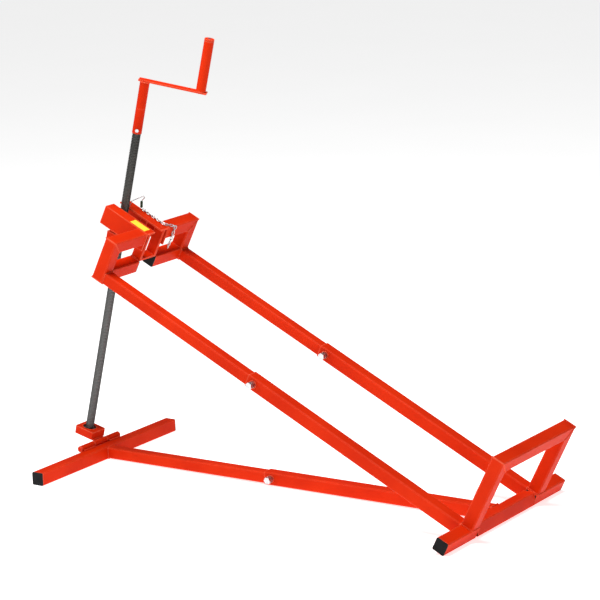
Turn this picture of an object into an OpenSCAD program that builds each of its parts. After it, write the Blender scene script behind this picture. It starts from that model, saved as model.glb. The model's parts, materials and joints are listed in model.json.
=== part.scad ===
// Screw-operated lift for a ride-on mower: a telescopic base with a T foot, a telescopic lift
// frame hinged at the rear, and a threaded spindle with a crank that raises the frame.
// The origin is the middle of the foot's underside. +X runs along the base to the rear hinge.

/* [Tubes] */
// Side of the outer square tube
tube = 40; // [36:1:44]
// Wall of the square tubes
wall = 2; // [1.5:0.5:3]
// Outer corner radius of the square tubes
corner = 4; // [3:0.5:5]
// Side of the inner square tube
slim = 35; // [31:1:35]
// Length of an inner tube that stays inside its outer tube
overlap = 200; // [180:10:260]
// Length of the outer telescopic tubes
sleeve_len = 782; // [740:2:800]

/* [Base] */
// Distance from the foot's centre line to the rear hinge axis
base_len = 1416; // [1400:1:1440]
// Overall width of the foot, without its end caps
foot_width = 678; // [640:2:720]
// Width of the hinge tube between the two stubs
hinge_width = 330; // [326:1:334]

/* [Lift frame] */
// Angle of the rails above the floor at rest
lift_angle = 26.4; // [26:0.1:27]
// Width over the outsides of the rails
frame_width = 424; // [420:1:430]
// Height of the wheel stop above the hinge axis, square to the rails
stop_height = 255; // [220:5:290]
// Width over the stubs, without their end caps
stub_width = 678; // [640:2:720]

/* [Carriage] */
// Distance from the hinge axis to the front face of the loops
loop_front = 1409; // [1405:1:1412]
// Height of the loops
loop_height = 141; // [136:1:144]
// Depth of the two carrier beams
beam_depth = 60; // [56:1:62]
// Clear slot between the two carrier beams
beam_gap = 32; // [30:1:34]
// Distance from the hinge axis to the front ends of the beams
beam_front = 1540; // [1530:1:1550]
// Clear gap between the lower cross tubes
cross_gap = 80; // [78:1:84]

/* [Spindle] */
// Thread diameter of the spindle
spindle_d = 26; // [22:1:26]
// Height of the crank arm above the lower swivel, along the spindle
crank_at = 1182; // [1160:2:1200]
// Reach of the crank arm
crank_reach = 171; // [150:1:190]
// Direction of the crank arm around the spindle
crank_turn = 25; // [0:5:90]
// Length of the crank grip
grip_len = 158; // [130:2:170]
// Direction of the socket's bolt around the spindle
bolt_turn = 32; // [0:1:60]
// Distance of the spindle axis in front of its swivel pins
swivel_reach = 45; // [44:0.5:46]

/* [Hidden] */
eps = 0.05;
half = tube / 2;
cap_t = 2.5;
play = 0.4;

// The lift frame's lower corner stands on the floor, so the base rises slightly towards the rear.
corner_drop = (half - corner) * (cos(lift_angle) + sin(lift_angle)) + corner;
base_pitch = asin((corner_drop - half) / base_len);
hinge = [base_len * cos(base_pitch) - half * sin(base_pitch), 0,
         base_len * sin(base_pitch) + half * cos(base_pitch)];

// The lower swivel sits against the foot's upper front corner.
knuckle_r = 10;
knuckle_off = (knuckle_r + corner + play) * sqrt(0.5);
swivel = [-(half - corner) - knuckle_off, 0, (tube - corner) + knuckle_off];
pin_r = 6;

// The upper swivel is as far from the hinge as the lower one, so that the spindle turns through
// exactly half of the lift frame's angle.
swivel_dist = sqrt(pow(hinge[0] - swivel[0], 2) + pow(hinge[2] - swivel[2], 2));
nut_w = 30;
nut_u = sqrt(pow(swivel_dist, 2) - pow(nut_w, 2));
swivel_rise = atan((swivel[2] - hinge[2]) / (hinge[0] - swivel[0]));
spindle_tilt = (swivel_rise + lift_angle + asin(nut_w / swivel_dist)) / 2;
nut_s = 2 * swivel_dist * sin(spindle_tilt - swivel_rise);

// Telescopes
sleeve_end = half + sleeve_len;
bolt_at = sleeve_end - 24;
bolt_r = 6;
bolt_af = 19;

// Loops, measured square to the rails from the rail axis
loop_low = -18;
loop_top = loop_low + loop_height;
loop_back = loop_front - tube;
rail_y = frame_width / 2 - half;
beam_low = loop_top - beam_depth;
beam_y = beam_gap / 2 + half;
beam_t = 5;
web_u = 34;
web_t = 8;
bridge_t = 6;
hanger_t = 6;
hanger_y = 20;
hanger_r = 12;

// Swivel block, with its bearing, along the spindle from the lower swivel pin
block_x0 = -77;
block_x1 = -6;
block_w = 64;
block_s0 = 11;
block_s1 = 36;
race_r = 20.5;
recess_r = 21;
recess_s = 20;
race_t = 3;
ball_r = 2.45;
ball_gap = 5;
ball_count = 14;
ball_ring_r = 15;
journal_r = 8;
clip_r = 12;
clip_seat_r = 15;
clip_seat_s = 16;
shoulder_s = recess_s + 2 * race_t + ball_gap;
leaf_t = 4;

// Nut block, along the spindle from the upper swivel pin
nut_s0 = -6;
nut_s1 = 28;
nut_block_x1 = -13;
nut_block_w = 60;
nut_block_s0 = -1;
nut_block_s1 = 25;
nut_r = 18;
nut_bore_r = spindle_d / 2 + 1.3;

// Crank
socket_r = 14.7;
socket_s0 = 1015;
arm_w = 26;
arm_t = 5;
arm_end = 19;
grip_r = 15;
grip_pin_r = 5;
grip_bore_r = grip_pin_r + 0.1;
washer_t = 5;
socket_bolt_s = socket_s0 + 12;
socket_bolt_r = 3;
socket_bolt_af = 10;

// Chain and hook on the far beam
wire = 1.25;
link_len = 15;
link_half = 3.2;
chain_pitch = link_len - 4 * wire - 0.2;
run_links = 9;
drop_links = 8;
chain_y = beam_y + half - 6;
chain_w = loop_top + 3.7;

red = [0.80, 0.10, 0.05];
black = [0.06, 0.06, 0.06];
steel = [0.62, 0.64, 0.66];
dark_steel = [0.22, 0.24, 0.26];

// ---- frames ----
// Base frame: x from the foot to the rear hinge, rising with the base.
module on_base() rotate([0, -base_pitch, 0]) children();
// Lift frame: u runs forwards along the rails from the hinge axis, w square to them.
module on_lift() translate(hinge) rotate([0, lift_angle, 0]) mirror([1, 0, 0]) children();
// Spindle frame: z runs up the spindle direction from the lower swivel pin.
module on_swivel() translate(swivel) rotate([0, spindle_tilt, 0]) children();
module on_spindle() on_swivel() translate([-swivel_reach, 0, 0]) children();
module on_nut() on_swivel() translate([0, 0, nut_s]) children();

// ---- general shapes ----
module rounded_rect(a, b, r) {
    square([a - 2 * r, b], center = true);
    square([a, b - 2 * r], center = true);
    for (i = [-1, 1], j = [-1, 1]) translate([i * (a / 2 - r), j * (b / 2 - r)]) circle(r, $fn = 32);
}
module tube_section(a, b, r = corner, t = wall) {
    difference() {
        rounded_rect(a, b, r);
        rounded_rect(a - 2 * t, b - 2 * t, max(r - t, 1));
    }
}
// Tubes along x, y and z, from the first coordinate to the second, centred on the other two.
module tube_x(x0, x1, y, z, a = tube, b = tube)
    translate([x0, y, z]) rotate([90, 0, 90]) linear_extrude(x1 - x0) tube_section(a, b);
module tube_y(y0, y1, x, z, a = tube, b = tube)
    translate([x, y1, z]) rotate([90, 0, 0]) linear_extrude(y1 - y0) tube_section(a, b);
module tube_z(z0, z1, x, y, a = tube, b = tube)
    translate([x, y, z0]) linear_extrude(z1 - z0) tube_section(a, b);
// Keeps what lies inside an outline drawn in the plane across the rails.
module across(points, u0, u1)
    translate([u0, 0, 0]) rotate([90, 0, 90]) linear_extrude(u1 - u0) polygon(points);
module rod_y(y0, y1, r, x = 0, z = 0)
    translate([x, y1, z]) rotate([90, 0, 0]) cylinder(h = y1 - y0, r = r, $fn = 48);
module hex_y(y0, y1, af, x = 0, z = 0)
    translate([x, y1, z]) rotate([90, 0, 0]) cylinder(h = y1 - y0, d = af / cos(30), $fn = 6);
module mirror_y() {
    children();
    mirror([0, 1, 0]) children();
}
module box(lo, hi) translate(lo) cube(hi - lo);
// A push-in plastic cap on a tube end that faces -y at the given y.
module end_cap(x, y, z) {
    translate([x, y, z]) rotate([90, 0, 0]) linear_extrude(cap_t) rounded_rect(tube - 0.4, tube - 0.4, corner);
    translate([x, y + 14, z]) rotate([90, 0, 0]) linear_extrude(14) difference() {
        rounded_rect(tube - 2 * wall - 0.4, tube - 2 * wall - 0.4, 1.8);
        rounded_rect(tube - 2 * wall - 4.4, tube - 2 * wall - 4.4, 1);
    }
}
// A washer along y
module ring_y(y0, y1, r, bore, x = 0, z = 0) difference() {
    rod_y(y0, y1, r, x, z);
    rod_y(y0 - 1, y1 + 1, bore, x, z);
}
module ring_z(z0, z1, r, bore) difference() {
    translate([0, 0, z0]) cylinder(h = z1 - z0, r = r, $fn = 64);
    translate([0, 0, z0 - 1]) cylinder(h = z1 - z0 + 2, r = bore, $fn = 64);
}

// ---- foot and base ----
module foot_tube() color(red) tube_y(-foot_width / 2, foot_width / 2, 0, half);
module foot_caps() color(black) mirror_y() end_cap(0, -foot_width / 2, half);
module base_inner_tube() color(red) on_base()
    tube_x(half + eps, base_len - sleeve_end + overlap, 0, half, slim, slim);
module lock_hole(x, y, z) rod_y(y - half - 1, y - half + wall + 1, bolt_r + eps, x, z);
module base_outer_tube() color(red) on_base() difference() {
    tube_x(base_len - sleeve_end, base_len - half - eps, 0, half);
    lock_hole(base_len - bolt_at, 0, half);
}
module hinge_tube() color(red) on_base() tube_y(-hinge_width / 2, hinge_width / 2, base_len, half);
module bush() rotate([90, 0, 0]) linear_extrude(24) difference() {
    rounded_rect(tube - 2 * wall - 0.1, tube - 2 * wall - 0.1, 1.9);
    circle(knuckle_r + eps, $fn = 64);
}
module hinge_bushes() color(black) on_base() translate([base_len, 0, half])
    mirror_y() translate([0, -hinge_width / 2 + 24, 0]) bush();
module hinge_axle() color(steel) on_lift() rod_y(-hinge_width / 2 - 90, hinge_width / 2 + 90, knuckle_r);
module axle_blocks() color(dark_steel) on_lift() mirror_y()
    for (y = [hinge_width / 2 + 2, hinge_width / 2 + 74])
        translate([0, y + 12, 0]) rotate([90, 0, 0]) linear_extrude(12) difference() {
            rounded_rect(tube - 2 * wall - 0.1, tube - 2 * wall - 0.1, 1.9);
            circle(knuckle_r + 0.02, $fn = 64);
        }
// A nut welded to a tube's near face, and the bolt that clamps the inner tube.
module lock_nut(x, y, z) difference() {
    hex_y(y - half - 10, y - half - eps, bolt_af, x, z);
    rod_y(y - half - 11, y - half + 1, bolt_r + eps, x, z);
}
module lock_bolt(x, y, z) {
    hex_y(y - half - 10 - 12, y - half - 10 - 4, bolt_af, x, z);
    rod_y(y - half - 10 - 4 - eps, y - slim / 2 - 0.1, bolt_r, x, z);
}
module base_lock_nut() color(steel) on_base() lock_nut(base_len - bolt_at, 0, half);
module base_lock_bolt() color(steel) on_base() lock_bolt(base_len - bolt_at, 0, half);

// ---- lower swivel ----
knuckle_y = 42;
knuckle_gap = 1;
module foot_knuckles() color(red) mirror_y() difference() {
    union() {
        rod_y(knuckle_y / 2 + 10 + knuckle_gap, 96, knuckle_r, swivel[0], swivel[2]);
        box([-half - 4, 40, half], [-half - eps, 90, swivel[2]]);
    }
    rod_y(0, 200, pin_r + eps, swivel[0], swivel[2]);
}
module swivel_knuckle() color(red) on_swivel() difference() {
    union() {
        rod_y(-knuckle_y / 2 - 10, knuckle_y / 2 + 10, knuckle_r);
        box([block_x0 + 14, -24, block_s0 - leaf_t], [0, 24, block_s0 - eps]);
    }
    rod_y(-60, 60, pin_r + eps);
    translate([-swivel_reach, 0, 0]) cylinder(h = 30, r = clip_seat_r, $fn = 64);
}
module swivel_pin() color(red) translate([swivel[0], 0, swivel[2]]) {
    rod_y(-96 - eps, 99, pin_r);
    rod_y(-98.5, -96 - eps, 8.5);
}
module swivel_pin_ring() color(red) translate([swivel[0], 0, swivel[2]])
    ring_y(96 + eps, 98, 8.5, pin_r + 0.02);
module bearing_housing() color(red) on_swivel() difference() {
    translate([(block_x0 + block_x1) / 2, 0, block_s0]) linear_extrude(block_s1 - block_s0)
        rounded_rect(block_x1 - block_x0, block_w, 5);
    translate([-swivel_reach, 0, 0]) {
        translate([0, 0, recess_s]) cylinder(h = 40, r = recess_r, $fn = 96);
        cylinder(h = 60, r = journal_r + eps, $fn = 64);
        cylinder(h = clip_seat_s, r = clip_seat_r, $fn = 64);
    }
}
module lower_race() color(steel) on_spindle()
    ring_z(recess_s + eps, recess_s + race_t, race_r, journal_r + 2);
module bearing_balls() color(steel) on_spindle()
    for (i = [0:ball_count - 1]) rotate([0, 0, i * 360 / ball_count])
        translate([ball_ring_r, 0, recess_s + race_t + ball_gap / 2]) sphere(ball_r, $fn = 32);
module upper_race() color(steel) on_spindle()
    ring_z(shoulder_s - race_t, shoulder_s - eps, race_r, journal_r + eps);

// ---- spindle and crank ----
module spindle() color(dark_steel) on_spindle() {
    translate([0, 0, block_s0 + 1.5]) cylinder(h = shoulder_s - block_s0 - 1, r = journal_r, $fn = 64);
    translate([0, 0, shoulder_s]) cylinder(h = socket_s0 + 60 - shoulder_s, d = spindle_d, $fn = 64);
}
module spindle_clip() color(steel) on_spindle()
    ring_z(block_s0 + 2.3, clip_seat_s - 0.6, clip_r, journal_r + 0.02);
module crank_socket() color(red) on_spindle() difference() {
    translate([0, 0, socket_s0]) cylinder(h = crank_at - arm_t / 2 - socket_s0, r = socket_r, $fn = 64);
    translate([0, 0, socket_s0 - 1]) cylinder(h = 80, d = spindle_d + 2 * eps, $fn = 64);
    translate([0, 0, socket_s0 + 70]) cylinder(h = 100, r = socket_r - 3, $fn = 64);
    translate([0, 0, socket_bolt_s]) rotate([0, 0, bolt_turn]) rod_y(-20, 20, socket_bolt_r + eps);
}
module on_bolt() on_spindle() translate([0, 0, socket_bolt_s]) rotate([0, 0, bolt_turn]) children();
module socket_round() translate([0, 0, -10]) cylinder(h = 20, r = socket_r + eps, $fn = 64);
module socket_bolt() color(steel) on_bolt() {
    difference() {
        hex_y(-socket_r - 4, -socket_r + 0.8, socket_bolt_af);
        socket_round();
    }
    rod_y(-socket_r - 3, -spindle_d / 2 - 0.1, socket_bolt_r);
}
module socket_bolt_nut() color(steel) on_bolt() {
    rod_y(spindle_d / 2 + 0.1, socket_r + 4, socket_bolt_r);
    difference() {
        hex_y(socket_r - 0.8, socket_r + 4, socket_bolt_af);
        socket_round();
        rod_y(0, socket_r + 4 + eps, socket_bolt_r + eps);
    }
}
module on_arm() on_spindle() translate([0, 0, crank_at]) rotate([0, 0, crank_turn]) children();
module crank_arm() color(red) on_arm() difference() {
    translate([0, 0, -arm_t / 2 + eps]) linear_extrude(arm_t - eps)
        translate([-arm_end, -arm_w / 2]) square([crank_reach + 2 * arm_end, arm_w]);
    translate([crank_reach, 0, -10]) cylinder(h = 20, r = grip_pin_r + 0.02, $fn = 48);
}
module grip_pin() color(steel) on_arm() translate([crank_reach, 0, 0]) {
    translate([0, 0, -arm_t / 2 - 3]) cylinder(h = grip_len + arm_t + 10.4, r = grip_pin_r, $fn = 48);
    translate([0, 0, -arm_t / 2 - 3]) cylinder(h = 2.9, r = 8, $fn = 48);
}
module crank_grip() color(red) on_arm() translate([crank_reach, 0, arm_t / 2 + 0.4])
    ring_z(0, grip_len, grip_r, grip_bore_r);
module grip_washer() color(red) on_arm() translate([crank_reach, 0, arm_t / 2 + grip_len + 1.2])
    ring_z(0, washer_t, grip_r, grip_pin_r + 0.02);

// ---- lift frame ----
stub_y0 = hinge_width / 2 + 1;
module stub() tube_y(-stub_width / 2, -stub_y0, 0, 0);
module stub_near() color(red) on_lift() stub();
module stub_far() color(red) on_lift() mirror([0, 1, 0]) stub();
module stub_caps() color(black) on_lift() mirror_y() end_cap(0, -stub_width / 2, 0);
module rail_outer(y) difference() {
    tube_x(half + eps, sleeve_end, y, 0);
    lock_hole(bolt_at, y, 0);
}
module rail_outer_near() color(red) on_lift() rail_outer(-rail_y);
module rail_outer_far() color(red) on_lift() rail_outer(rail_y);
// The posts and the bar meet in mitres.
module stop_post() intersection() {
    tube_z(half + eps, stop_height, 0, -rail_y);
    across([[-rail_y - half - 1, 0], [-rail_y - half - 1, stop_height + 1 - eps],
            [-rail_y + half + 1, stop_height - tube - 1 - eps], [-rail_y + half + 1, 0]], -half, half);
}
module stop_post_near() color(red) on_lift() stop_post();
module stop_post_far() color(red) on_lift() mirror([0, 1, 0]) stop_post();
module wheel_stop_bar() color(red) on_lift() intersection() {
    tube_y(-rail_y - half, rail_y + half, 0, stop_height - half);
    across([[-rail_y - half - 1, stop_height + 1], [rail_y + half + 1, stop_height + 1],
            [rail_y - half - 1, stop_height - tube - 1], [-rail_y + half + 1, stop_height - tube - 1]],
           -half, half);
}
module rail_lock_nuts() color(steel) on_lift() for (y = [-rail_y, rail_y]) lock_nut(bolt_at, y, 0);
module rail_lock_bolts() color(steel) on_lift() for (y = [-rail_y, rail_y]) lock_bolt(bolt_at, y, 0);

// ---- carriage ----
loop_u = loop_front - half;
post_y = rail_y;
module rail_inner(y) tube_x(sleeve_end - overlap, loop_back - eps, y, 0, slim, slim);
module rail_inner_near() color(red) on_lift() rail_inner(-rail_y);
module rail_inner_far() color(red) on_lift() rail_inner(rail_y);
module loop_post() intersection() {
    tube_z(loop_low, loop_top, loop_u, -post_y);
    across([[-post_y - half - 1, loop_low - 1 + eps], [-post_y - half - 1, loop_top + 1 - eps],
            [-post_y + half + 1, loop_top - tube - 1 - eps],
            [-post_y + half + 1, loop_low + tube + 1 + eps]], loop_back, loop_front);
}
module loop_post_near() color(red) on_lift() loop_post();
module loop_post_far() color(red) on_lift() mirror([0, 1, 0]) loop_post();
module upper_cross() intersection() {
    tube_y(-post_y - half, -beam_y - half - eps, loop_u, loop_top - half);
    across([[-post_y - half - 1, loop_top + 1], [0, loop_top + 1], [0, loop_top - tube - 1],
            [-post_y + half + 1, loop_top - tube - 1]], loop_back, loop_front);
}
module upper_cross_near() color(red) on_lift() upper_cross();
module upper_cross_far() color(red) on_lift() mirror([0, 1, 0]) upper_cross();
module lower_cross() intersection() {
    tube_y(-post_y - half, -cross_gap / 2 - cap_t, loop_u, loop_low + half);
    across([[-post_y - half - 1, loop_low - 1], [0, loop_low - 1], [0, loop_low + tube + 1],
            [-post_y + half + 1, loop_low + tube + 1]], loop_back, loop_front);
}
module lower_cross_near() color(red) on_lift() lower_cross();
module lower_cross_far() color(red) on_lift() mirror([0, 1, 0]) lower_cross();
// The caps close the tubes' inner ends.
module cross_caps() color(black) on_lift() mirror_y()
    translate([0, -cross_gap - 2 * cap_t, 0]) mirror([0, 1, 0])
        end_cap(loop_u, -cross_gap / 2 - cap_t, loop_low + half);
// An angle section: a side wall and a top wall, open towards the slot.
module beam() {
    beam_out = beam_y + half;
    box([loop_back, -beam_out, beam_low], [beam_front, -beam_out + beam_t, loop_top]);
    box([loop_back, -beam_out, loop_top - beam_t], [beam_front, -beam_out + tube, loop_top]);
}
module beam_near() color(red) on_lift() beam();
module beam_far() color(red) on_lift() mirror([0, 1, 0]) beam();
module loop_webs() color(red) on_lift() mirror_y()
    box([loop_back + 2, cross_gap / 2 - web_t, loop_low + tube + eps],
        [loop_back + 2 + web_u, cross_gap / 2, loop_top - beam_t - eps]);
module bridge_plate() color(red) on_lift()
    box([loop_back + 2, -cross_gap / 2 + web_t + eps, loop_low + tube],
        [loop_back + 2 + web_u - 2, cross_gap / 2 - web_t - eps, loop_low + tube + bridge_t]);
module nut_hangers() color(red) on_lift() mirror_y() difference() {
    union() {
        rod_y(hanger_y, hanger_y + hanger_t, hanger_r, nut_u, nut_w);
        box([nut_u - hanger_r, hanger_y, nut_w], [nut_u + hanger_r, hanger_y + hanger_t, loop_top - beam_t - eps]);
    }
    rod_y(0, 60, pin_r + 0.02, nut_u, nut_w);
}
module blank_label() color([0.93, 0.83, 0.10]) on_lift()
    box([1386, -beam_y - 15, loop_top + eps], [1444, -beam_y + 13, loop_top + 0.4]);

// ---- chain, hook and clip ----
module half_ring(r, t) rotate_extrude(angle = 180, $fn = 32) translate([r, 0]) circle(t, $fn = 16);
module chain_link() {
    straight = link_len - 2 * link_half - 2 * wire;
    for (i = [0, 1]) mirror([i, 0, 0]) translate([straight / 2 - 0.01, 0, 0])
        rotate([0, 0, -90]) half_ring(link_half, wire);
    for (i = [-1, 1]) translate([-straight / 2, i * link_half, 0]) rotate([0, 90, 0])
        cylinder(h = straight, r = wire, $fn = 16);
}
// Links along x from the origin, turned in turn to either side.
module links(n, side = 1) for (i = [0:n - 1]) translate([i * chain_pitch, 0, 0])
    rotate([side * (i % 2 == 0 ? 45 : -45), 0, 0]) chain_link();
// The chain lies along the far beam, crosses the upper tube and hangs behind it.
turn_x = [loop_back + 19, chain_y];
turn_z = [loop_back - 5, chain_y + 30];
turn_gap = 4.3;
cross_dir = atan2(turn_z[1] - turn_x[1], turn_z[0] - turn_x[0]);
module safety_chain() color(steel) on_lift() {
    translate([turn_x[0] + turn_gap, turn_x[1], chain_w]) links(run_links);
    translate([turn_x[0], turn_x[1], chain_w]) rotate([0, 0, cross_dir]) translate([turn_gap, 0, 0]) links(4, -1);
    translate([turn_z[0], turn_z[1], chain_w - turn_gap]) rotate([0, 90, 0]) links(drop_links, -1);
}
module rod_between(p, q, r) {
    d = q - p;
    translate(p) rotate([0, acos(d[2] / norm(d)), atan2(d[1], d[0])]) cylinder(h = norm(d), r = r, $fn = 24);
}
module bent_wire(points, r) {
    for (i = [0:len(points) - 2]) rod_between(points[i], points[i + 1], r);
    for (p = points) translate(p) sphere(r + 0.15, $fn = 24);
}
hook_u = turn_x[0] + turn_gap + run_links * chain_pitch;
module chain_hook() color([0.05, 0.35, 0.12]) on_lift()
    bent_wire([[hook_u + 3, chain_y, chain_w + 5.5], [hook_u + 7, chain_y - 2, chain_w + 20]], 4);
module wire_clip() color(steel) on_lift() bent_wire(
    [[1506, beam_gap / 2 + 5, loop_top + 1.5], [1504, beam_gap / 2 + 4, loop_top + 24],
     [1493, chain_y - 16, loop_top + 38], [1487, chain_y - 6, loop_top + 46],
     [1482, chain_y - 3, loop_top + 42], [hook_u + 7, chain_y - 2, chain_w + 26.2]], 1.4);

// ---- nut block ----
module nut_block() color(red) on_nut() difference() {
    union() {
        translate([(block_x0 + nut_block_x1) / 2, 0, nut_block_s0]) linear_extrude(nut_block_s1 - nut_block_s0)
            rounded_rect(nut_block_x1 - block_x0, nut_block_w, 5);
        rod_y(-hanger_y + 0.5, hanger_y - 0.5, knuckle_r);
        box([nut_block_x1 - 2, -hanger_y + 0.5, nut_block_s0], [0, hanger_y - 0.5, nut_block_s0 + leaf_t + 3]);
    }
    rod_y(-60, 60, pin_r + eps);
    translate([-swivel_reach, 0, -50]) cylinder(h = 120, r = nut_r, $fn = 96);
}
module spindle_nut() color(dark_steel) on_nut() translate([-swivel_reach, 0, 0])
    ring_z(nut_s0, nut_s1, nut_r - 0.02, nut_bore_r);
module nut_pivot_bolt() color(steel) on_lift() translate([nut_u, 0, nut_w]) {
    rod_y(-hanger_y - hanger_t - eps, hanger_y + hanger_t + 9, pin_r);
    hex_y(-hanger_y - hanger_t - 8, -hanger_y - hanger_t - eps, bolt_af);
}
module nut_pivot_lock_nut() color(steel) on_lift() translate([nut_u, 0, nut_w]) difference() {
    hex_y(hanger_y + hanger_t + eps, hanger_y + hanger_t + 8, bolt_af);
    rod_y(0, 60, pin_r + 0.02);
}

foot_tube();
foot_caps();
base_inner_tube();
base_outer_tube();
hinge_tube();
hinge_bushes();
hinge_axle();
axle_blocks();
base_lock_nut();
base_lock_bolt();
foot_knuckles();
swivel_knuckle();
swivel_pin();
swivel_pin_ring();
bearing_housing();
lower_race();
bearing_balls();
upper_race();
spindle();
spindle_clip();
crank_socket();
socket_bolt();
socket_bolt_nut();
crank_arm();
grip_pin();
crank_grip();
grip_washer();
stub_near();
stub_far();
stub_caps();
rail_outer_near();
rail_outer_far();
stop_post_near();
stop_post_far();
wheel_stop_bar();
rail_lock_nuts();
rail_lock_bolts();
rail_inner_near();
rail_inner_far();
loop_post_near();
loop_post_far();
upper_cross_near();
upper_cross_far();
lower_cross_near();
lower_cross_far();
cross_caps();
beam_near();
beam_far();
loop_webs();
bridge_plate();
nut_hangers();
blank_label();
safety_chain();
chain_hook();
wire_clip();
nut_block();
spindle_nut();
nut_pivot_bolt();
nut_pivot_lock_nut();
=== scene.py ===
"""Looks of the ride-on mower lift: enamel, thread, welds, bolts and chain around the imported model."""
import json
import math

import bmesh
import bpy
from mathutils import Matrix, Vector


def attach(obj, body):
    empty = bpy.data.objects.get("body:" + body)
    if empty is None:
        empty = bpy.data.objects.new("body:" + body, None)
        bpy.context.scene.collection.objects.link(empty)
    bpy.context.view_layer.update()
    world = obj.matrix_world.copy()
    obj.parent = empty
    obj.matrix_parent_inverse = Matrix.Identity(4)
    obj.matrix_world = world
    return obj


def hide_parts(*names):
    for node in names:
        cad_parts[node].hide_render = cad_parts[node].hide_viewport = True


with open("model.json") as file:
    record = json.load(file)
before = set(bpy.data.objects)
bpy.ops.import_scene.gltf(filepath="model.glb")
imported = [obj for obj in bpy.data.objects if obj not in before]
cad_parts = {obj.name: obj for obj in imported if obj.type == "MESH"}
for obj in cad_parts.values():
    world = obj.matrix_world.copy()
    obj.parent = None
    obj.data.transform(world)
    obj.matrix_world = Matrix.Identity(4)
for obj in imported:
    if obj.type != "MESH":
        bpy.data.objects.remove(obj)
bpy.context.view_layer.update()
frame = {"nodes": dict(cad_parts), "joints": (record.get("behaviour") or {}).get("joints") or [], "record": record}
NODES = frame["nodes"]

# ---- view ----
VIEW_AZIMUTH = math.radians(33.93)
VIEW_ELEVATION = math.radians(12.98)
VIEW_ROLL = math.radians(-1.92)
VIEW_TARGET = Vector((0.7675, -0.0235, 0.5878))
VIEW_DISTANCE = 7.634
LENS = 156.68

# ---- main sizes, in metres ----
LIFT_ANGLE = math.radians(26.4)
HALF = 0.020
SLIM_HALF = 0.0175
RAIL_Y = 0.192
STOP_TOP = 0.255
LOOP_BACK = 1.369
LOOP_FRONT = 1.409
LOOP_LOW = -0.018
LOOP_TOP = 0.123
BEAM_OUT = 0.056
WEB_Y = 0.040
CRANK_AT = 1.182
SOCKET_R = 0.0147
LOCK_BOLT_U = 0.778
SPINDLE_R = 0.013
THREAD_PITCH = 0.005
THREAD_DEPTH = 0.0022
THREAD_START = 0.033
THREAD_END = 1.068
THREAD_LEAD_IN = 0.004
THREAD_RUN_OUT = 0.010
THREAD_CORNERS = 24

# ---- weld beads ----
WELD_R = 0.003
FINE_WELD_R = 0.0018
WELD_RIPPLE = 0.0022
WELD_CORNERS = 8
WELD_PROUD = 0.0006
WELD_INSET = 0.0006
LOCK_WELD_R = 0.0112

# ---- stage ----
FLOOR_SIZE = 60.0
FLOOR_DROP = 0.0005
LIGHT_AIM = Vector((0.77, 0, 0.5))


# ---- material helpers ----
class Graph:
    """A small builder for one material's nodes."""

    def __init__(self, name):
        self.material = bpy.data.materials.new(name)
        self.material.use_nodes = True
        self.tree = self.material.node_tree
        self.shader = self.tree.nodes["Principled BSDF"]
        self.coords = self.add("ShaderNodeTexCoord").outputs["Object"]

    def add(self, kind, **settings):
        node = self.tree.nodes.new(kind)
        for key, value in settings.items():
            setattr(node, key, value)
        return node

    def link(self, source, target):
        self.tree.links.new(source, target)

    def noise(self, scale, detail=4.0, roughness=0.5, stretch=None):
        node = self.add("ShaderNodeTexNoise")
        node.inputs["Scale"].default_value = scale
        node.inputs["Detail"].default_value = detail
        node.inputs["Roughness"].default_value = roughness
        source = self.coords
        if stretch is not None:
            mapping = self.add("ShaderNodeMapping")
            mapping.inputs["Scale"].default_value = stretch
            self.link(source, mapping.inputs["Vector"])
            source = mapping.outputs["Vector"]
        self.link(source, node.inputs["Vector"])
        return node.outputs["Fac"]

    def ramp(self, value, stops):
        node = self.add("ShaderNodeValToRGB")
        elements = node.color_ramp.elements
        while len(elements) < len(stops):
            elements.new(0.5)
        for element, (place, colour) in zip(elements, stops):
            element.position = place
            element.color = (*colour, 1.0) if len(colour) == 3 else colour
        self.link(value, node.inputs["Fac"])
        return node.outputs["Color"]

    def mix(self, factor, first, second):
        node = self.add("ShaderNodeMix", data_type="RGBA")
        self.link(factor, node.inputs["Factor"])
        for colour, socket in ((first, node.inputs["A"]), (second, node.inputs["B"])):
            if isinstance(colour, tuple):
                socket.default_value = (*colour, 1.0)
            else:
                self.link(colour, socket)
        return node.outputs["Result"]

    def math(self, operation, first, second):
        node = self.add("ShaderNodeMath", operation=operation)
        node.use_clamp = True
        for value, socket in ((first, node.inputs[0]), (second, node.inputs[1])):
            if isinstance(value, (int, float)):
                socket.default_value = value
            else:
                self.link(value, socket)
        return node.outputs["Value"]

    def edges(self, radius, low, high):
        """Near 1 on the object's edges, 0 on its flats."""
        bevel = self.add("ShaderNodeBevel", samples=6)
        bevel.inputs["Radius"].default_value = radius
        geometry = self.add("ShaderNodeNewGeometry")
        dot = self.add("ShaderNodeVectorMath", operation="DOT_PRODUCT")
        self.link(bevel.outputs["Normal"], dot.inputs[0])
        self.link(geometry.outputs["Normal"], dot.inputs[1])
        spread = self.add("ShaderNodeMapRange")
        spread.inputs["From Min"].default_value = high
        spread.inputs["From Max"].default_value = low
        self.link(dot.outputs["Value"], spread.inputs["Value"])
        return spread.outputs["Result"]

    def bump(self, height, strength, distance):
        node = self.add("ShaderNodeBump")
        node.inputs["Strength"].default_value = strength
        node.inputs["Distance"].default_value = distance
        self.link(height, node.inputs["Height"])
        self.link(node.outputs["Normal"], self.shader.inputs["Normal"])

    def finish(self, colour=None, roughness=None, **constants):
        if colour is not None:
            self.link(colour, self.shader.inputs["Base Color"])
        if roughness is not None:
            self.link(roughness, self.shader.inputs["Roughness"])
        for key, value in constants.items():
            self.shader.inputs[key.replace("_", " ")].default_value = value
        return self.material


def rough_band(graph, scale, low, high):
    """A roughness that wanders between low and high."""
    node = graph.add("ShaderNodeMapRange")
    node.inputs["To Min"].default_value = low
    node.inputs["To Max"].default_value = high
    graph.link(graph.noise(scale, 5.0, 0.6), node.inputs["Value"])
    return node.outputs["Result"]


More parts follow.
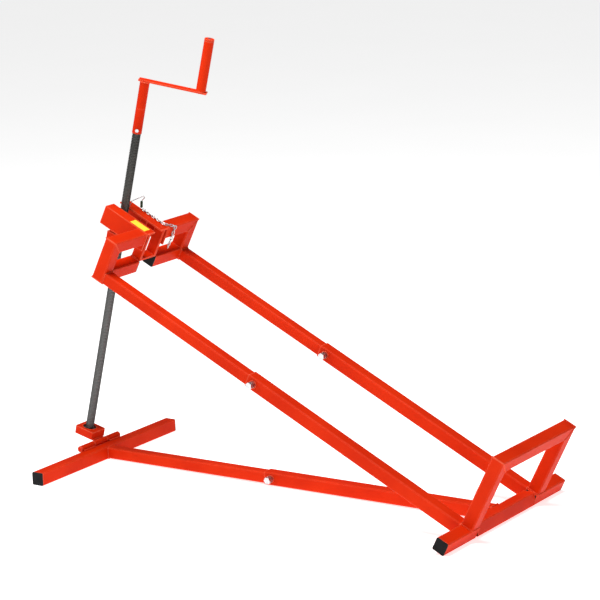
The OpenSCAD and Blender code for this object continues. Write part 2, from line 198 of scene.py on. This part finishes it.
def red_enamel():
    g = Graph("red_enamel")
    tone = g.ramp(g.noise(7.0, 3.0), [(0.35, (0.62, 0.021, 0.002)), (0.65, (0.73, 0.030, 0.003))])
    fleck = g.ramp(g.noise(420.0, 2.0), [(0.60, (0, 0, 0)), (0.78, (1, 1, 1))])
    tone = g.mix(g.math("MULTIPLY", fleck, 0.10), tone, (0.85, 0.10, 0.03))
    # Painted highlight: edges and rounded corners get a lighter pink-red base colour, standing in for the lamps'
    # glints on them.
    edge = g.math("MULTIPLY", g.edges(0.006, 0.90, 0.99), g.noise(60.0, 5.0, 0.7))
    tone = g.mix(edge, tone, (0.95, 0.20, 0.11))
    dirt = g.ramp(g.noise(26.0, 6.0, 0.7), [(0.60, (0, 0, 0)), (0.80, (1, 1, 1))])
    tone = g.mix(g.math("MULTIPLY", dirt, 0.18), tone, (0.30, 0.012, 0.006))
    g.bump(g.noise(300.0, 2.0), 0.10, 0.0004)
    return g.finish(tone, rough_band(g, 35.0, 0.34, 0.50), Specular_IOR_Level=0.04)


def black_plastic():
    g = Graph("black_plastic")
    tone = g.ramp(g.noise(40.0), [(0.3, (0.003, 0.003, 0.0035)), (0.7, (0.008, 0.008, 0.009))])
    edge = g.edges(0.0015, 0.75, 0.97)
    tone = g.mix(g.math("MULTIPLY", edge, 0.5), tone, (0.08, 0.08, 0.08))
    g.bump(g.noise(900.0, 3.0), 0.25, 0.0003)
    return g.finish(tone, rough_band(g, 60.0, 0.42, 0.62), Specular_IOR_Level=0.12)


def dark_thread_steel():
    g = Graph("dark_thread_steel")
    tone = g.ramp(g.noise(9.0, 5.0, 0.6, (1, 1, 0.35)),
                  [(0.30, (0.040, 0.040, 0.036)), (0.55, (0.075, 0.075, 0.070)), (0.75, (0.13, 0.13, 0.12))])
    # Lighter grey towards the bottom of the spindle, by object height.
    split = g.add("ShaderNodeSeparateXYZ")
    g.link(g.coords, split.inputs["Vector"])
    low = g.ramp(split.outputs["Z"], [(0.50, (1, 1, 1)), (0.72, (0, 0, 0))])
    tone = g.mix(g.math("MULTIPLY", low, 0.5), tone, (0.24, 0.24, 0.24))
    edge = g.edges(0.0006, 0.70, 0.97)
    tone = g.mix(g.math("MULTIPLY", edge, 0.55), tone, (0.34, 0.34, 0.32))
    g.bump(g.noise(1200.0, 3.0), 0.2, 0.0002)
    return g.finish(tone, rough_band(g, 90.0, 0.32, 0.55), Metallic=0.75)


def zinc_steel():
    g = Graph("zinc_steel")
    tone = g.ramp(g.noise(120.0, 5.0, 0.6), [(0.3, (0.50, 0.51, 0.52)), (0.7, (0.74, 0.75, 0.76))])
    stain = g.ramp(g.noise(55.0, 6.0, 0.7), [(0.55, (0, 0, 0)), (0.75, (1, 1, 1))])
    tone = g.mix(g.math("MULTIPLY", stain, 0.35), tone, (0.36, 0.34, 0.30))
    g.bump(g.noise(700.0, 3.0), 0.2, 0.0003)
    return g.finish(tone, rough_band(g, 150.0, 0.22, 0.42), Metallic=1.0)


def bearing_steel():
    g = Graph("bearing_steel")
    tone = g.ramp(g.noise(90.0, 4.0), [(0.3, (0.20, 0.20, 0.21)), (0.7, (0.36, 0.36, 0.37))])
    g.bump(g.noise(800.0, 2.0, 0.5, (1, 1, 6)), 0.15, 0.0002)
    return g.finish(tone, rough_band(g, 120.0, 0.24, 0.45), Metallic=1.0)


def bronze():
    g = Graph("bronze")
    tone = g.ramp(g.noise(110.0, 4.0), [(0.3, (0.42, 0.25, 0.09)), (0.7, (0.60, 0.40, 0.17))])
    g.bump(g.noise(900.0, 2.0), 0.15, 0.0002)
    return g.finish(tone, rough_band(g, 100.0, 0.25, 0.45), Metallic=1.0)


def yellow_foil():
    g = Graph("yellow_foil")
    tone = g.ramp(g.noise(90.0, 4.0), [(0.35, (0.94, 0.74, 0.03)), (0.65, (0.98, 0.82, 0.07))])
    scuff = g.ramp(g.noise(160.0, 6.0, 0.7, (1, 5, 1)), [(0.62, (0, 0, 0)), (0.74, (1, 1, 1))])
    tone = g.mix(g.math("MULTIPLY", scuff, 0.5), tone, (0.48, 0.34, 0.02))
    g.bump(g.noise(500.0, 2.0), 0.1, 0.0002)
    return g.finish(tone, rough_band(g, 80.0, 0.25, 0.42))


def green_plastic():
    g = Graph("green_plastic")
    tone = g.ramp(g.noise(150.0), [(0.3, (0.006, 0.050, 0.016)), (0.7, (0.015, 0.10, 0.035))])
    g.bump(g.noise(900.0, 3.0), 0.2, 0.0002)
    return g.finish(tone, rough_band(g, 100.0, 0.35, 0.55))


def pale_floor():
    g = Graph("pale_floor")
    tone = g.ramp(g.noise(1.5, 2.0), [(0.3, (0.90, 0.90, 0.90)), (0.7, (0.93, 0.93, 0.93))])
    g.bump(g.noise(40.0), 0.02, 0.001)
    return g.finish(tone, rough_band(g, 3.0, 0.75, 0.9), Emission_Color=(1, 1, 1, 1),
                    Emission_Strength=0.74)


RED = red_enamel()
FINISH = {
    "red_paint": RED,
    "black_plastic": black_plastic(),
    "spindle_steel": dark_thread_steel(),
    "zinc_steel": zinc_steel(),
    "bearing_steel": bearing_steel(),
    "bronze": bronze(),
    "yellow_label": yellow_foil(),
}
GREEN = green_plastic()


def dress(piece, material):
    piece.data.materials.clear()
    piece.data.materials.append(material)


# ---- geometry helpers ----
def new_object(name, bm, material, smooth=True):
    mesh = bpy.data.meshes.new(name)
    bmesh.ops.recalc_face_normals(bm, faces=bm.faces)
    bm.to_mesh(mesh)
    bm.free()
    for polygon in mesh.polygons:
        polygon.use_smooth = smooth
    piece = bpy.data.objects.new(name, mesh)
    bpy.context.scene.collection.objects.link(piece)
    dress(piece, material)
    return piece


def add_rings(bm, rings, closed_ends=True):
    """Joins equal rings of points into a tube."""
    rows = [[bm.verts.new(p) for p in ring] for ring in rings]
    count = len(rows[0])
    for lower, upper in zip(rows, rows[1:]):
        for i in range(count):
            j = (i + 1) % count
            bm.faces.new((lower[i], lower[j], upper[j], upper[i]))
    if closed_ends:
        bm.faces.new(reversed(rows[0]))
        bm.faces.new(rows[-1])


def frame_along(direction):
    """Two unit vectors square to a direction and to each other."""
    direction = direction.normalized()
    side = direction.orthogonal().normalized()
    return side, direction.cross(side)


# ---- places ----
JOINTS = {joint["name"]: joint for joint in frame["joints"]}
HINGE = Vector(JOINTS["frame_lift"]["pos_m"])
SWIVEL = Vector(JOINTS["spindle_tilt"]["pos_m"])
SCREW_FOOT = Vector(JOINTS["spindle_turn"]["pos_m"])
SCREW_AXIS = Vector(JOINTS["spindle_turn"]["axis"]).normalized()


def on_lift(u, y, w):
    """A point of the lift frame: u forwards along the rails from the hinge, w square to them."""
    along = Vector((-math.cos(LIFT_ANGLE), 0, math.sin(LIFT_ANGLE)))
    across = Vector((math.sin(LIFT_ANGLE), 0, math.cos(LIFT_ANGLE)))
    return HINGE + along * u + across * w + Vector((0, y, 0))


# ---- threaded spindle ----
def threaded_spindle():
    """The spindle with its trapezoidal thread, from the bearing's shoulder to the crank socket."""
    side, up = frame_along(SCREW_AXIS)
    profile = [(0.00, 1.0), (0.30, 1.0), (0.42, 0.0), (0.88, 0.0)]
    rings = []
    turns = int((THREAD_END - THREAD_START - THREAD_RUN_OUT) / THREAD_PITCH)
    base = THREAD_START + THREAD_LEAD_IN
    root = SPINDLE_R - THREAD_DEPTH

    def ring(points):
        return [SCREW_FOOT + SCREW_AXIS * s + side * (r * math.cos(a)) + up * (r * math.sin(a))
                for s, r, a in points]

    angles = [2 * math.pi * i / THREAD_CORNERS for i in range(THREAD_CORNERS)]
    rings.append(ring([(THREAD_START, SPINDLE_R - 0.002, a) for a in angles]))
    rings.append(ring([(THREAD_START + 0.0015, root, a) for a in angles]))
    for turn in range(turns):
        for place, height in profile:
            points = []
            for i, a in enumerate(angles):
                s = base + THREAD_PITCH * (turn + place + i / THREAD_CORNERS)
                points.append((s, SPINDLE_R - THREAD_DEPTH * (1 - height), a))
            rings.append(ring(points))
    rings.append(ring([(THREAD_END - 0.0005, root, a) for a in angles]))
    bm = bmesh.new()
    add_rings(bm, rings)
    return bm


# ---- weld shapes ----
def weld(bm, start, end, radius=WELD_R):
    """A rippled bead from start to end."""
    length = (end - start).length
    ripples = max(3, int(length / WELD_RIPPLE))
    side, up = frame_along(end - start)
    rings = []
    for i in range(ripples * 2 + 1):
        t = i / (ripples * 2)
        swell = 1.0 if i % 2 else 0.86
        swell *= 1 + 0.10 * math.sin(i * 1.7) + 0.05 * math.sin(i * 0.61)
        swell *= 0.45 if i in (0, ripples * 2) else 1.0
        middle = start.lerp(end, t)
        rings.append([middle + (side * math.cos(a) + up * math.sin(a)) * radius * swell
                      for a in (2 * math.pi * k / WELD_CORNERS for k in range(WELD_CORNERS))])
    add_rings(bm, rings)


def weld_loop(bm, corners, radius=WELD_R):
    for first, second in zip(corners, corners[1:] + corners[:1]):
        weld(bm, first, second, radius)


def weld_ring(bm, middle, axis, ring_radius, radius=WELD_R, corners=24):
    side, up = frame_along(axis)
    points = [middle + (side * math.cos(a) + up * math.sin(a)) * ring_radius
              for a in (2 * math.pi * k / corners for k in range(corners))]
    weld_loop(bm, points, radius)


def weld_piece(name, body, draw):
    bm = bmesh.new()
    draw(bm)
    piece = new_object(name, bm, RED)
    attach(piece, body)


def on_base(x, y, z):
    """A point of the base: x from the foot's centre line to the hinge, rising a little on the way."""
    reach = math.hypot(HINGE.x, HINGE.z - HALF)
    rise = (HINGE.z - HALF) / reach
    return Vector((x - z * rise, y, z + x * rise))


def on_screw(s, angle=0.0, reach=0.0):
    """A point round the spindle at height s; angle 0 faces the hinge."""
    across = Vector((SCREW_AXIS.z, 0, -SCREW_AXIS.x))
    return (SCREW_FOOT + SCREW_AXIS * s + across * (reach * math.cos(angle))
            + Vector((0, reach * math.sin(angle), 0)))


def square(place, half):
    """Four corners round a square tube's end: place(a, b) gives a point."""
    a = b = half - WELD_INSET
    return [place(-a, -b), place(a, -b), place(a, b), place(-a, b)]


def frame_welds(bm):
    for side in (-1, 1):
        y = side * RAIL_Y
        weld_loop(bm, square(lambda a, b: on_lift(HALF + WELD_PROUD, y + a, b), HALF))
        weld_loop(bm, square(lambda a, b: on_lift(a, y + b, HALF + WELD_PROUD), HALF))
        out, inner = side * (RAIL_Y + HALF), side * (RAIL_Y - HALF)
        for u in (-HALF, HALF):
            weld(bm, on_lift(u, out, STOP_TOP), on_lift(u, inner, STOP_TOP - 2 * HALF), FINE_WELD_R)
        weld_ring(bm, on_lift(LOCK_BOLT_U, y - HALF, 0), Vector((0, 1, 0)), LOCK_WELD_R, FINE_WELD_R)


def carriage_welds(bm):
    for side in (-1, 1):
        y = side * RAIL_Y
        weld_loop(bm, square(lambda a, b: on_lift(LOOP_BACK - WELD_PROUD, y + a, b), SLIM_HALF))
        out, inner = side * (RAIL_Y + HALF), side * (RAIL_Y - HALF)
        for u in (LOOP_BACK, LOOP_FRONT):
            weld(bm, on_lift(u, out, LOOP_TOP), on_lift(u, inner, LOOP_TOP - 2 * HALF), FINE_WELD_R)
            weld(bm, on_lift(u, out, LOOP_LOW), on_lift(u, inner, LOOP_LOW + 2 * HALF), FINE_WELD_R)
            weld(bm, on_lift(u, side * BEAM_OUT, LOOP_TOP - 2 * HALF + 0.004),
                 on_lift(u, side * BEAM_OUT, LOOP_TOP - 0.003), 0.0022)
        foot = LOOP_LOW + 2 * HALF + 0.001
        weld(bm, on_lift(LOOP_BACK + 0.003, side * (WEB_Y + 0.001), foot),
             on_lift(LOOP_BACK + 0.037, side * (WEB_Y + 0.001), foot), 0.0034)


def foot_welds(bm):
    weld_loop(bm, square(lambda a, b: on_base(HALF + WELD_PROUD, a, HALF + b), SLIM_HALF))
    for side in (-1, 1):
        weld(bm, SWIVEL + Vector((0.0115, side * 0.038, -0.0045)),
             SWIVEL + Vector((0.0115, side * 0.090, -0.0045)), 0.0032)


def rear_base_welds(bm):
    front = math.hypot(HINGE.x, HINGE.z - HALF) - HALF - WELD_PROUD
    weld_loop(bm, square(lambda a, b: on_base(front, a, HALF + b), HALF))
    bolt = front + HALF - LOCK_BOLT_U
    weld_ring(bm, on_base(bolt, -HALF, HALF), Vector((0, 1, 0)), LOCK_WELD_R, FINE_WELD_R)


def crank_welds(bm):
    weld_ring(bm, on_screw(CRANK_AT - 0.0034), SCREW_AXIS, SOCKET_R, 0.0022)


def build_welds():
    weld_piece("weld_frame", "lift_frame", frame_welds)
    weld_piece("weld_carriage", "carriage", carriage_welds)
    weld_piece("weld_foot", "foot", foot_welds)
    weld_piece("weld_base", "base_rear", rear_base_welds)
    weld_piece("weld_crank", "screw", crank_welds)


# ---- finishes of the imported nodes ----
def dress_nodes():
    slots = {part["node"]: part["material_slot"] for part in frame["record"]["subparts"]}
    for name, node in NODES.items():
        dress(node, FINISH[slots[name]])
    dress(NODES["chain_hook"], GREEN)


def build_spindle():
    piece = new_object("spindle_thread", threaded_spindle(), FINISH["spindle_steel"], smooth=False)
    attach(piece, "screw")
    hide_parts("spindle")


# ---- stage, light and camera ----
def build_floor():
    bm = bmesh.new()
    corners = [(-1, -1), (1, -1), (1, 1), (-1, 1)]
    bm.faces.new([bm.verts.new((x * FLOOR_SIZE, y * FLOOR_SIZE, -FLOOR_DROP)) for x, y in corners])
    floor = new_object("floor", bm, pale_floor(), smooth=False)


def area_light(name, place, size, power):
    light = bpy.data.lights.new(name, "AREA")
    light.shape = "DISK"
    light.size = size
    light.energy = power
    lamp = bpy.data.objects.new(name, light)
    bpy.context.scene.collection.objects.link(lamp)
    lamp.location = place
    lamp.rotation_euler = (LIGHT_AIM - Vector(place)).to_track_quat("-Z", "Y").to_euler()


def build_light():
    world = bpy.data.worlds.new("studio")
    bpy.context.scene.world = world
    world.use_nodes = True
    background = world.node_tree.nodes["Background"]
    background.inputs["Color"].default_value = (1, 1, 1, 1)
    background.inputs["Strength"].default_value = 0.12
    area_light("key", (-2.6, -4.2, 3.0), 2.0, 92)
    area_light("top", (0.9, -0.7, 4.8), 2.4, 215)
    scene = bpy.context.scene
    scene.view_settings.view_transform = "Standard"
    scene.view_settings.exposure = 0.0


def build_camera():
    data = bpy.data.cameras.new("camera")
    data.lens = LENS
    data.sensor_width = 36.0
    data.clip_end = 100.0
    camera = bpy.data.objects.new("camera", data)
    bpy.context.scene.collection.objects.link(camera)
    back = Vector((math.sin(VIEW_AZIMUTH) * math.cos(VIEW_ELEVATION),
                   -math.cos(VIEW_AZIMUTH) * math.cos(VIEW_ELEVATION),
                   math.sin(VIEW_ELEVATION)))
    level = Vector((0, 0, 1)).cross(back).normalized()
    upright = back.cross(level)
    right = level * math.cos(VIEW_ROLL) + upright * math.sin(VIEW_ROLL)
    up = upright * math.cos(VIEW_ROLL) - level * math.sin(VIEW_ROLL)
    turn = Matrix((right, up, back)).transposed().to_4x4()
    camera.matrix_world = Matrix.Translation(VIEW_TARGET + back * VIEW_DISTANCE) @ turn
    bpy.context.scene.camera = camera


build_camera()
build_light()
build_floor()
dress_nodes()
build_spindle()
build_welds()
